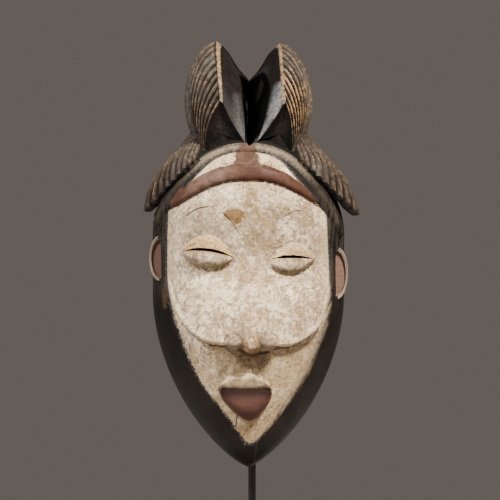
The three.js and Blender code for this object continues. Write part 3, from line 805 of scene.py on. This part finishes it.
def camera():
    data = bpy.data.cameras.new("camera")
    data.sensor_width = SENSOR_WIDTH
    data.lens = SENSOR_WIDTH * VIEW_DISTANCE / VIEW_WIDTH
    place = (VIEW_X * MM, (VIEW_PLANE_Y - VIEW_DISTANCE) * MM, VIEW_Z * MM)
    bpy.context.scene.camera = put_in_scene("camera", data, place, (math.radians(90), 0, 0))


def area_light(name, place, aim, size, power, colour=(1, 1, 1)):
    data = bpy.data.lights.new(name, "AREA")
    data.size, data.energy, data.color = size, power, colour
    x, y, z = np.array(aim) - np.array(place)
    put_in_scene(name, data, place, (math.atan2(math.hypot(x, y), -z), 0, math.atan2(y, x) - math.pi / 2))


# Materials: sockets take part in sums, and every other node comes from Board.node
class Wire:
    """A number or vector on its way through a material."""

    def __init__(self, board, socket):
        self.board = board
        self.socket = socket

    def math(self, operation, *others, clamp=False):
        values = dict(enumerate((self,) + others))
        return self.board.node("ShaderNodeMath", dict(operation=operation, use_clamp=clamp), values)

    __add__ = __radd__ = partialmethod(math, "ADD")
    __sub__ = partialmethod(math, "SUBTRACT")
    __mul__ = __rmul__ = partialmethod(math, "MULTIPLY")
    __truediv__ = partialmethod(math, "DIVIDE")
    __pow__ = partialmethod(math, "POWER")
    __abs__ = partialmethod(math, "ABSOLUTE")

    def __rsub__(self, other):
        return self.math("MULTIPLY_ADD", -1, other)

    def most(self, *others):
        return reduce(lambda first, second: first.math("MAXIMUM", second), others, self)

    def held(self):
        """The value kept between 0 and 1."""
        return self.math("ADD", 0.0, clamp=True)

    def rise(self, low, high):
        """0 below low, 1 above high and smooth between; low may be the larger."""
        return self.board.node("ShaderNodeMapRange", dict(interpolation_type="SMOOTHSTEP"),
                               {"Value": self, "From Min": low, "From Max": high})


class Board:
    """The nodes of one material. Lengths are millimetres."""

    def __init__(self, name):
        self.material = bpy.data.materials.new(name)
        self.material.use_nodes = True
        self.tree = self.material.node_tree
        self.shader = self.tree.nodes["Principled BSDF"]
        place = self.node("ShaderNodeTexCoord", {}, {}, "Object")
        self.place = self.vector("MULTIPLY", place, (1000, 1000, 1000))

    def node(self, kind, settings, values, output=0):
        node = self.tree.nodes.new(kind)
        for name, value in settings.items():
            setattr(node, name, value)
        for name, value in values.items():
            self.feed(node.inputs[name], value)
        return Wire(self, node.outputs[output])

    def feed(self, socket, value):
        if isinstance(value, Wire):
            self.tree.links.new(value.socket, socket)
        elif socket.type == "RGBA":
            socket.default_value = (*value, 1)
        else:
            socket.default_value = value

    def vector(self, operation, *values):
        return self.node("ShaderNodeVectorMath", dict(operation=operation), dict(enumerate(values)))

    def field(self, name):
        return self.node("ShaderNodeAttribute", dict(attribute_name=name), {}, "Fac")

    def blend(self, share, first, second):
        """A colour between two colours."""
        return self.node("ShaderNodeMix", dict(data_type="RGBA"), {0: share, 6: first, 7: second}, 2)

    def coats(self, colour, *layers):
        """A colour with (share, colour) layers laid over it in turn."""
        for share, layer in layers:
            colour = self.blend(share, colour, layer)
        return colour

    def clouds(self, size, detail, rough, shift=0, warp=0.0, stretch=(1, 1, 1), place=None):
        """Cloudy noise from 0 to 1; a shift of its own keeps it off the others."""
        place = self.vector("MULTIPLY_ADD", place or self.place, stretch, (shift, shift, shift))
        return self.node("ShaderNodeTexNoise", {}, {
            "Vector": place, "Scale": 1 / size, "Detail": detail, "Roughness": rough, "Distortion": warp})

    def crackle(self, size):
        """Distance to the nearest edge of bent cells."""
        bend = self.node("ShaderNodeTexNoise", {}, {"Vector": self.place, "Scale": 0.5}, "Color")
        return self.node("ShaderNodeTexVoronoi", dict(feature="DISTANCE_TO_EDGE"), {
            "Vector": self.vector("ADD", self.place, bend), "Scale": 1 / size}, "Distance")

    def finish(self, colour, roughness, height, strength, **others):
        """Wires the finish up, with the height in millimetres."""
        normal = self.node("ShaderNodeBump", {}, {"Height": height, "Distance": MM, "Strength": strength})
        inputs = dict(Base_Color=colour, Roughness=roughness, Normal=normal, **others)
        for name, value in inputs.items():
            self.feed(self.shader.inputs[name.replace("_", " ")], value)
        return self.material


KAOLIN = (0.66, 0.495, 0.32)
KAOLIN_DULL = (0.45, 0.325, 0.19)
KAOLIN_GREY = (0.37, 0.315, 0.245)
CHALK = (0.92, 0.755, 0.56)
TAN_STAIN = (0.35, 0.23, 0.118)
OLIVE_STAIN_AND_SHADE = (0.13, 0.095, 0.052)
PEACH = (0.56, 0.335, 0.19)
GOLDEN_WOOD = (0.27, 0.155, 0.06)
LID_YELLOW = (0.60, 0.375, 0.17)
HIGHLIGHT_CREAM = (0.80, 0.62, 0.38)
SPECK = (0.11, 0.08, 0.055)
RED_OCHRE = (0.042, 0.014, 0.008)
RED_DUSTY = (0.075, 0.034, 0.022)
PATCH_BROWN = (0.052, 0.025, 0.015)
MAUVE_DUST_AND_SHEEN = (0.15, 0.092, 0.072)
EAR_SHADE = (0.12, 0.07, 0.055)
LIP_SHADOW_RED = (0.017, 0.008, 0.006)
EAR_BROWN = (0.19, 0.115, 0.09)
LIP_RED = (0.055, 0.024, 0.019)
CHARRED = (0.0045, 0.0038, 0.0032)
CHARRED_BROWN = (0.014, 0.009, 0.0065)
TEMPLE_GREY = (0.055, 0.044, 0.036)
SHEEN_AND_SMEAR_GREY = (0.145, 0.14, 0.15)
NOSE_TAN = (0.30, 0.185, 0.098)
WING_GREY = (0.20, 0.152, 0.105)
SOOT_AND_SHADE_BLACK = (0.0015, 0.0013, 0.0012)
HAIR_BROWN = (0.036, 0.025, 0.018)
CREST_TAN = (0.30, 0.175, 0.08)
CREST_GREY = (0.075, 0.058, 0.043)
BAND_GREY = (0.175, 0.138, 0.098)
RAW_WOOD = (0.13, 0.075, 0.04)
RAW_DARK = (0.05, 0.03, 0.018)


class Front:
    """Places on the carving seen from the front, in millimetres."""

    def __init__(self, board):
        split = board.node("ShaderNodeSeparateXYZ", {}, {0: board.place}).socket.node
        x, y, z = (Wire(board, output) for output in split.outputs)
        self.x, self.y, self.z = x - MASK_X, y, z - CHIN_Z

    def spot(self, at_x, at_z, wide, tall, strength=1):
        """1 in the middle of an oval, 0 from its rim outwards; strength broadens the middle."""
        across, up = (self.x - at_x) / wide, (self.z - at_z) / tall
        return ((1 - across * across - up * up).held() * strength).held()

    def stroke(self, start, end, half):
        """1 on a straight scratch and 0 from its half-width outwards."""
        run_x, run_z = end[0] - start[0], end[1] - start[1]
        from_x, from_z = self.x - start[0], self.z - start[1]
        share = ((from_x * run_x + from_z * run_z) / math.hypot(run_x, run_z) ** 2).held()
        off_x, off_z = from_x - share * run_x, from_z - share * run_z
        return (1 - (off_x * off_x + off_z * off_z) ** 0.5 / half).held()

    def arc(self, at_x, top, fall, low, high, half):
        """1 on an arched scratch z = top - fall (x - at_x)^2 between two x."""
        reach = self.x - at_x
        rise = abs(self.z - top + reach * reach * fall)
        slope = (reach * reach * (4 * fall * fall) + 1) ** 0.5
        ends = self.x.rise(low, low + 2) * self.x.rise(high, high - 2)
        return (1 - rise / slope / half).held() * ends


def face_paint(board, front, worn, middling):
    """White kaolin with its chalky flakes, stains, specks, scratches and eyelids."""
    clouds, spot, stroke, arc = board.clouds, front.spot, front.stroke, front.arc
    x, z = front.x, front.z
    # the lower face below the cheek fold, which gets less chalk and a painted shade with some stain
    jaw = z.rise(112, 92)
    patches = clouds(15, 5, 0.66, 31, 0.7, (1, 1, 0.8))
    grey = clouds(10, 5, 0.65, 77, 0.4)
    flakes = clouds(2.8, 5, 0.7, 131, 0.8)
    islands = clouds(8, 6, 0.72, 151, 1.2)
    where = clouds(24, 3, 0.55, 43)
    lifted = islands * 0.8 + flakes * 0.2 + (where - 0.5) * 0.4
    flaked = lifted.rise(0.515, 0.54)
    rim = abs(lifted - 0.525).rise(0.011, 0.002) * where.rise(0.38, 0.56) * 0.4
    sound = (clouds(17, 3, 0.5, 87) - 0.5) * 0.45 + spot(-34, 128, 34, 30) * 0.06
    chalky = (clouds(5.5, 6, 0.74, 201, 1.0) + sound - jaw * 0.03).rise(0.46, 0.51)
    scuffs = clouds(3.0, 4, 0.6, 63, 0.3, (0.45, 1, 1)).rise(0.54, 0.6) * spot(-28, 203, 32, 22, 2)
    # bright chalk flakes and scuffs, and a painted highlight in chalk on the raised edges
    bright = chalky.most(scuffs, worn.rise(0.12, 0.4) * 0.85)
    # stains down the nose, at the brows and on the chin, and painted shadow with some stain under the nose
    down_nose = (1 - abs(x - 3) / 15).held() * z.rise(70, 100)
    peach = clouds(7, 5, 0.68, 11, 0.6, (1, 1, 0.7)).rise(0.5, 0.62)
    middle = spot(3, 200, 10, 38, 1.4) * clouds(5, 4, 0.6, 17).rise(0.36, 0.58)
    brow = spot(-42, 206, 13, 8).most(spot(16, 174, 9, 22)) * patches.rise(0.4, 0.55)
    # painted shade and stain on the lower face below the cheek fold, darker again to the right
    jaw_shade_and_stain = jaw * (0.22 + grey.rise(0.4, 0.6) * 0.35 + x.rise(8, 40) * 0.3)
    # painted shadow under the nose, darkest just below the tip, with some olive stain
    under = spot(-3, 84, 26, 14, 1.7) * (0.35 + 0.65 * spot(3, 90, 15, 10).rise(0, 0.6))
    tip = spot(2.2, 101, 9, 15, 2) * (0.5 + 0.5 * flakes.rise(0.6, 0.45))
    wings = spot(-10.8, 101, 8, 7.5, 2).most(spot(14.6, 102, 8, 7.5, 2))
    chin = spot(1, 29, 13, 14, 1.6) * (0.4 + 0.6 * patches.rise(0.62, 0.4))
    strips = z.rise(226, 238)
    # an eyelid is yellow above its slit and darker olive-grey below, and the socket above the upper lid gets
    # painted shade
    row = board.field("lid_row")
    on_lid = board.field("lid").rise(-0.2, 0.8)
    upper = on_lid * row.rise(-0.05, 0.12) * row.rise(1.0, 0.8) * (0.7 + 0.3 * flakes.rise(0.62, 0.5))
    low = ((middling - 0.5) * 0.9 - row).rise(0.3, 0.75) * on_lid
    # painted shade above the upper lids, strongest over the left eye and fading to the right
    socket = board.field("socket") * x.rise(35, -15)
    # painted shade and dirt in the creases, specks, crackle, the chip, knife marks, and painted shadow in the
    # gaps at the fold and under the nose tip
    lids_and_lips = on_lid.most(spot(-2.6, 68, 30, 16).rise(0, 0.2))
    # painted shade with some dirt: darker in the hollows, away from the lids and lips
    hollow_shade_and_dirt = (0 - worn).rise(0.35, 0.9) * (0.2 + flakes.rise(0.42, 0.55) * 0.6) * (1 - lids_and_lips)
    near = clouds(14, 3, 0.5, 59).rise(0.4, 0.6)
    speckle = clouds(2.2, 4, 0.72, 5).rise(0.58, 0.625) * (0.25 + 0.75 * near)
    crackle = board.crackle(3.4).rise(0.06, 0.0) * clouds(11, 2, 0.5, 91).rise(0.45, 0.6) * 0.5
    wavy = (flakes - 0.5) * 1.6
    chip_edge = wavy + (patches - 0.5) * 0.8
    chip = (spot(-11.5, 199.5, 10, 5.2).most(spot(-8.5, 197, 5, 5.5)) + chip_edge).rise(0.25, 0.4)
    marks = arc(-31, 205.8, 0.0234, -49, -30, 0.75).most(
        arc(-31, 205.8, 0.036, -21.5, -6, 0.65) * 0.85, arc(42, 203.2, 0.0227, 26, 41, 0.6) * 0.8,
        stroke((-8.4, 45.8), (-9.9, 36), 0.6), stroke((-46, 175.5), (-40, 178), 0.5) * 0.8).rise(0.0, 0.7)
    # painted shadow: dark strokes in the gaps beside the nose wings at the fold and just below the nose tip
    crease_shadow = stroke((-30.5, 99.6), (-16.5, 98.6), 1.3).most(
        stroke((20.5, 98.4), (31, 97.4), 1.3), stroke((-6.9, 96.6), (1.2, 92), 2.2),
        stroke((1.2, 92), (15.5, 94.3), 2.2))
    crease_shadow = (crease_shadow + wavy).rise(0.25, 0.7)
    # painted highlight: a lighter cream band along the inside of the white face's edges, from the cheeks up
    edge_highlight = board.field("white").rise(9, 1.5) * z.rise(110, 135) * (0.4 + patches * 0.6)
    colour = board.coats(
        KAOLIN,
        ((patches + jaw * 0.05).rise(0.47, 0.6) * 0.75, KAOLIN_DULL),
        (grey.rise(0.52, 0.64) * 0.6, KAOLIN_GREY),
        (bright * (0.85 - jaw * 0.2), CHALK),
        (flaked * (0.35 + flakes.rise(0.44, 0.56) * 0.35), TAN_STAIN),
        ((peach * (0.1 + down_nose * 0.6)).held(), PEACH),
        ((middle * 0.7).most(brow * 0.5), TAN_STAIN),
        (jaw_shade_and_stain, KAOLIN_DULL),
        # painted shadow with some stain under the nose
        ((under * (0.55 + patches * 0.6)).held() * 0.72, OLIVE_STAIN_AND_SHADE),
        (tip * 0.95, NOSE_TAN),
        (wings * (0.65 + flakes.rise(0.42, 0.55) * 0.3), WING_GREY),
        (chin * 0.7, TAN_STAIN),
        (spot(-24.5, 97.4, 4.5, 2.2, 1.5) * 0.8, PEACH),
        (strips * 0.55, KAOLIN_DULL),
        (strips * (flakes * 0.6 + islands * 0.4).rise(0.5, 0.56) * 0.7, OLIVE_STAIN_AND_SHADE),
        (upper * x.rise(30, 10).most(0.6), LID_YELLOW),
        (low * 0.7, OLIVE_STAIN_AND_SHADE),
        # painted shade in the sockets above the upper lids
        (socket * 0.55, KAOLIN_GREY),
        (chip, board.blend(patches.rise(0.4, 0.6) * 0.4, GOLDEN_WOOD, TAN_STAIN)),
        (crease_shadow * 0.85, CHARRED_BROWN),
        ((speckle * 0.7).most(crackle, marks, hollow_shade_and_dirt, rim), SPECK),
        (edge_highlight * 0.8, HIGHLIGHT_CREAM))
    height = (0.2 + chalky * 0.45 - flaked * 0.5 - speckle * 0.5 - crackle * 0.4 - marks * 1.1 - chip * 0.7
              + (flakes - 0.5) * 1.1)
    return colour, height


def hair_paint(board, front, crest):
    """Blackened strands with dusty backs, rubbed gold with painted highlights on the rib backs, stronger on
    the right lobe, and bare flat ridges.
    """
    strokes = board.clouds(2.6, 5, 0.68, 23, 0.5)
    areas = board.clouds(13, 3, 0.55, 29)
    dusty = board.clouds(5, 4, 0.65, 37).rise(0.46, 0.6)
    back = (crest + (strokes - 0.5) * 0.7).rise(0.22, 0.6)
    # painted highlight: more rubbed gold on the right lobe, where the light falls
    painted_light_spot = front.spot(32, 292, 24, 36) * 0.5
    # rubbed gold on the rib backs, partly real wear and partly painted highlight
    rubbed = (crest + (strokes - 0.5) * 2.0 + (areas - 0.5) * 1.6 + painted_light_spot).rise(1.02, 1.36)
    into_strip = board.field("ridge")
    ridge = (into_strip + (strokes - 0.5) * 3.2).rise(0.1, 0.9)
    crack = (1 - abs(into_strip + 0.9 + (strokes - 0.5) * 1.5) / 1.1).held() * front.x.rise(0, -5)
    # the faces that look into the cleft: smooth, with a painted grey sheen low on the right and a faint one
    # on the left
    into_cleft = board.field("cavity").rise(-50, -45)
    smooth = into_cleft * (1 - ridge)
    # painted sheen: grey strokes where the cleft's inner faces would catch a reflection
    painted_sheen = (front.stroke((24, 299), (19, 279), 6) * 1.8).held().most(front.stroke((18, 278), (6, 255), 3.4))
    painted_sheen = painted_sheen.most(front.stroke((-9, 292), (-4.5, 256), 5) * 0.3)
    textured = strokes.rise(0.35, 0.65) * 0.6 + 0.35
    colour = board.coats(
        SOOT_AND_SHADE_BLACK, (back, HAIR_BROWN), (back * dusty * 0.75, CREST_GREY), (rubbed * 0.85, CREST_TAN),
        (ridge, board.blend(strokes.rise(0.4, 0.58) * 0.85, CREST_GREY, CREST_TAN)),
        (smooth, board.blend(dusty * 0.6, CHARRED, CHARRED_BROWN)),
        (painted_sheen * smooth * textured, SHEEN_AND_SMEAR_GREY),
        ((crack * front.z.rise(276, 290) * 1.8).held(), SOOT_AND_SHADE_BLACK))
    return colour, (crest * 0.1 + strokes * 0.5) * (1 - into_cleft)


def side_paint(board, front, worn, fine, middling):
    """Charred sides with a soft gloss, a painted grey sheen in streaks at the temples, and the band under the
    hair.
    """
    streaks = board.clouds(3, 4, 0.6, 47, 0.2, (1, 1, 0.12))
    rubbed = (front.spot(-65, 137, 4, 15) * (fine * 4 - 1.2)).rise(0.3, 0.7)
    # painted sheen: grey streaks on the temples between the white face and the ears
    temple_sheen = front.z.rise(128, 150) * front.z.rise(222, 205) * streaks.rise(0.4, 0.65)
    edge = (board.field("white") + (middling - 0.5) * 4).rise(-3.2, -0.5) * fine.rise(0.42, 0.6)
    fading = 1 - abs(front.x).rise(30, 56) * 0.85
    band = board.field("band").rise(-0.2, 0.4) * fading * (0.55 + 0.45 * middling.rise(0.35, 0.55))
    return board.coats(
        CHARRED,
        (board.clouds(26, 3, 0.5).rise(0.4, 0.65) * 0.7, CHARRED_BROWN),
        (front.stroke((6.1, 24.6), (4.8, 6.9), 0.7) * 0.5, TEMPLE_GREY),
        (rubbed * 0.22, CREST_TAN),
        (temple_sheen * 0.7, TEMPLE_GREY),
        (edge * front.y.rise(4, -6) * 0.6, SHEEN_AND_SMEAR_GREY),
        # the band is lighter on its raised cords, partly a painted highlight and partly random tone
        (band, board.blend((fine - 0.5 + worn * 0.4).rise(-0.1, 0.18), TEMPLE_GREY, BAND_GREY)))


def red_paint(board, front, middling):
    """Red-brown ochre: dusty on the diadem with a painted sheen on its left part, darker on the lips with
    painted shadow under the upper lip, and on the patch above.
    """
    mottled = board.clouds(8, 4, 0.62, 71)
    lip = board.field("lip").rise(-0.6, 0.6)
    above_lips = front.z.rise(150, 160)
    # painted sheen with some dust: lighter mauve over the left part of the diadem
    mauve_sheen_and_dust = front.x.rise(-3, -22) * front.x.rise(-56, -42) * (0.4 + mottled.rise(0.35, 0.6) * 0.6)
    brown = board.blend(middling.rise(0.4, 0.62) * 0.35, PATCH_BROWN, MAUVE_DUST_AND_SHEEN)
    return board.coats(
        RED_OCHRE,
        (mottled.rise(0.4, 0.66) * 0.75, RED_DUSTY),
        (lip, board.blend(mottled.rise(0.44, 0.64) * 0.6, LIP_RED, RED_DUSTY)),
        # painted shadow under the upper lip, over the top of the lower lip
        (lip * (front.z + (mottled - 0.5) * 5).rise(56.5, 64) * 0.95, LIP_SHADOW_RED),
        (abs(front.x + 3.5).rise(30, 58) * above_lips * 0.5, RED_DUSTY),
        (mauve_sheen_and_dust * above_lips * 0.7, MAUVE_DUST_AND_SHEEN),
        (board.field("patch").rise(-0.5, 1.5), brown))


def ear_paint(board, ear, fine):
    """Red-brown in the sunk middle of an ear, with a painted highlight as a light line around its rim and
    dark behind.
    """
    # painted highlight along the ear's rim
    line = ear.rise(0.58, 0.7) * ear.rise(0.97, 0.85)
    return board.coats(
        EAR_BROWN, (fine.rise(0.3, 0.7) * 0.5, EAR_SHADE), (ear.rise(0.7, 0.55), CHARRED_BROWN),
        (line * (0.5 + fine * 0.6), KAOLIN_GREY))


def carved_wood():
    """All finishes of the carving, put together by its fields."""
    board = Board("carved_wood")
    front, clouds, field = Front(board), board.clouds, board.field
    x, z = front.x, front.z
    worn, crest, ear = field("worn"), field("crest"), field("ear")
    fine, middling = clouds(1.6, 4, 0.6), clouds(6, 4, 0.6)
    white, white_height = face_paint(board, front, worn, middling)
    hair, hair_height = hair_paint(board, front, crest)
    # ragged edges between the finishes, smeared along the right of the jaw
    ragged = (middling - 0.5) * 3.0 + (fine - 0.5) * 2.4
    smear = x.rise(2, 26) * z.rise(160, 110)
    upper_side = z.rise(118, 140)
    along, across = x * 0.052 + z * 0.085, x * 0.85 - z * 0.52
    streaks = clouds(2.4, 4, 0.6, place=board.node("ShaderNodeCombineXYZ", {}, {0: across, 1: along}))
    flecks = (clouds(1.4, 4, 0.7, 19) - 0.5) * 11 * (1 - upper_side) * (1 - smear)
    ragged_white = ragged * (1 - upper_side * 0.75) + flecks + smear * ((streaks - 0.5) * 13 - 1)
    white_share = ((field("white") + ragged_white) / (0.5 + smear * 5)).rise(-1, 1)
    fray = 0.55 + field("patch").rise(-6, 0)
    lip_top = z.rise(62, 66) * z.rise(76, 71)
    red_share = ((field("red") + ragged * fray) / (0.4 + lip_top * 1.9)).rise(-1, 1)
    on_hair = field("hair").rise(0.4, 0.6)
    # painted shade: the deep cleft, the eye slits and the web are painted near-black and made metallic so
    # they stay black
    cavity = field("cavity").rise(-0.6, 1.6)
    grain = clouds(2.2, 4, 0.6, 3, 0.6, (1, 1, 0.06))
    colour = board.coats(
        side_paint(board, front, worn, fine, middling),
        (on_hair, hair),
        (white_share, white),
        (red_share, red_paint(board, front, middling)),
        (ear.rise(0.2, 0.4) * (1 - white_share), ear_paint(board, ear, fine)),
        (field("recess") * 0.8, board.blend(middling.rise(0.4, 0.7), CHARRED, CHARRED_BROWN)),
        (cavity, SOOT_AND_SHADE_BLACK),
        (field("hollow").rise(0.4, 0.6), board.blend(grain.rise(0.35, 0.7), RAW_WOOD, RAW_DARK)))
    white_only = white_share * (1 - red_share)
    roughness = 0.6 + white_only * 0.2 + fine * 0.14 + cavity * 0.3
    gloss = (1 - white_only) * (1 - cavity) * 0.05
    height = ((fine - 0.5) * 0.2 + (middling - 0.5) * 0.5 + white_only * white_height
              + on_hair * hair_height)
    return board.finish(colour, roughness, height, 0.9, Coat_Weight=gloss, Coat_Roughness=0.35,
                        Metallic=cavity, Specular_IOR_Level=0.15)


def blackened_steel():
    board = Board("blackened_steel")
    smooth = board.clouds(14, 4, 0.6)
    fine = board.clouds(1.2, 3, 0.6)
    colour = board.blend(smooth.rise(0.4, 0.7), (0.022, 0.022, 0.025), (0.04, 0.038, 0.037))
    roughness = 0.38 + smooth * 0.12 + fine * 0.08
    return board.finish(colour, roughness, fine * 0.05 + smooth * 0.05, 0.6, Metallic=0.75)


def pale_floor():
    board = Board("pale_floor")
    haze = board.clouds(220, 2, 0.5)
    return board.finish(board.blend(haze, (0.40, 0.37, 0.35), (0.46, 0.43, 0.41)), 0.9, haze, 0.1)


def dress(piece, material):
    piece.data.materials.clear()
    piece.data.materials.append(material)
    piece.data.polygons.foreach_set("material_index", np.zeros(len(piece.data.polygons), dtype=np.int32))


def studio():
    bpy.ops.mesh.primitive_circle_add(vertices=96, radius=0.42, fill_type="NGON", location=(0, 0.05, 0))
    floor = bpy.context.object
    floor.name = "floor"
    dress(floor, pale_floor())
    area_light("key", (0.8, -1.25, 2.05), (0, 0, 0.25), 0.35, 186, (1, 0.92, 0.80))
    area_light("second", (-1.15, -1.2, 1.75), (0, 0, 0.25), 0.4, 60, (1, 0.96, 0.90))
    area_light("fill", (-1.6, -0.6, 0.6), (0, 0, 0.28), 0.9, 7, (0.86, 0.92, 1))
    area_light("top", (-0.3, 0.9, 1.6), (0, 0, 0.3), 0.8, 8)
    world = bpy.data.worlds.new("studio")
    bpy.context.scene.world = world
    world.use_nodes = True
    world.node_tree.nodes["Background"].inputs["Color"].default_value = (0.134, 0.115, 0.102, 1)


camera()
dress(mask_piece(), carved_wood())
steel = blackened_steel()
for solid in ("stand_rod", "base_plate"):
    dress(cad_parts[solid], steel)
studio()
